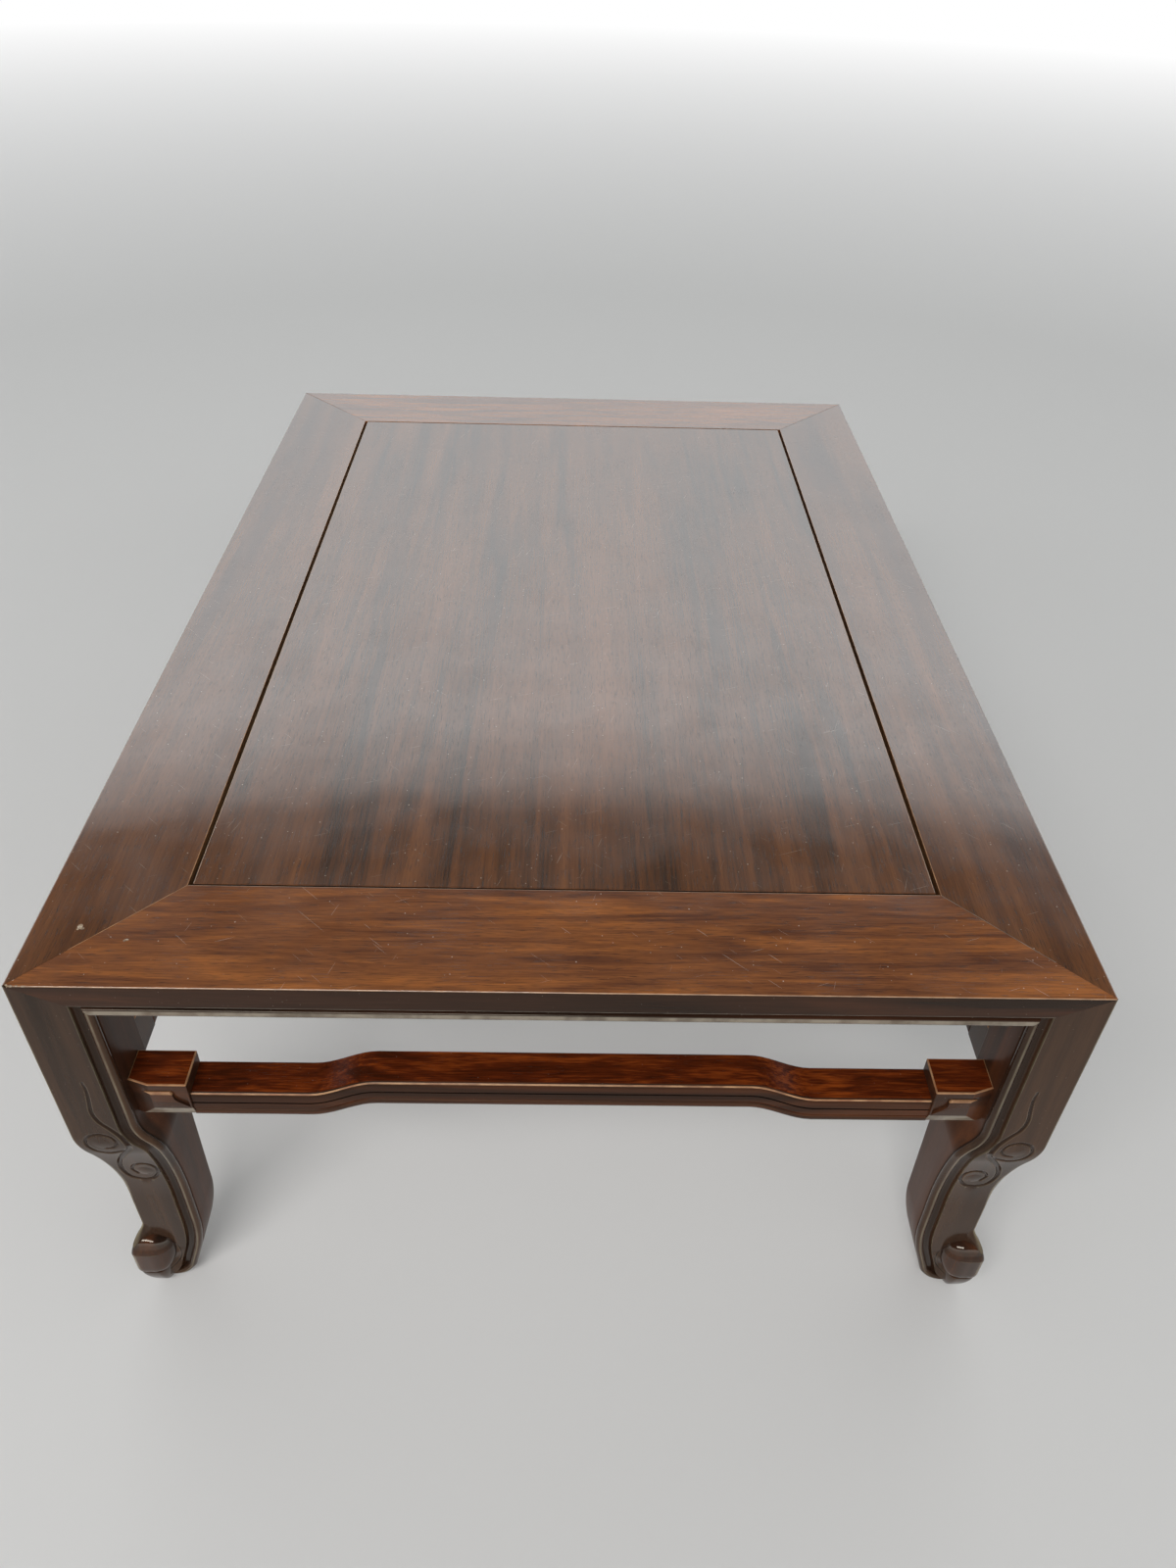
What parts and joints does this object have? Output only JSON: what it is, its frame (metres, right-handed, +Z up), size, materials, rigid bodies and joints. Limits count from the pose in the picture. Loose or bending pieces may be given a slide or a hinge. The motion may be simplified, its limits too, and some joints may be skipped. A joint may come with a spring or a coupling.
{
  "type": "display table",
  "caption": "Low rectangular hardwood table: flush panel top in a mitred frame, humpback stretchers, and inward-swept legs ending in curled ball feet.",
  "frame": {"origin": "on the floor, under the centre of the table top", "axes": "+Z up, +X to the right and +Y to the back as seen from the near short end; the length runs along Y"},
  "size_m": [0.48, 0.688, 0.266],
  "materials": {
    "frame_wood": "dark rosewood, worn glossy lacquer",
    "panel_wood": "dark rosewood, worn glossy lacquer",
    "batten_wood": "dark rosewood, thin unpolished lacquer",
    "leg_wood": "dark rosewood, glossy lacquer",
    "stretcher_wood": "reddish rosewood, glossy lacquer worn at the arrises"
  },
  "bodies": {
    "root": {"end_rail_front": "frame_wood", "end_rail_back": "frame_wood", "side_rail_left": "frame_wood", "side_rail_right": "frame_wood", "panel": "panel_wood", "batten_front": "batten_wood", "batten_middle": "batten_wood", "batten_back": "batten_wood", "leg_front_left": "leg_wood", "leg_front_right": "leg_wood", "leg_back_right": "leg_wood", "leg_back_left": "leg_wood", "stretcher_front": "stretcher_wood", "stretcher_back": "stretcher_wood", "stretcher_left": "stretcher_wood", "stretcher_right": "stretcher_wood"}
  },
  "joints": []
}
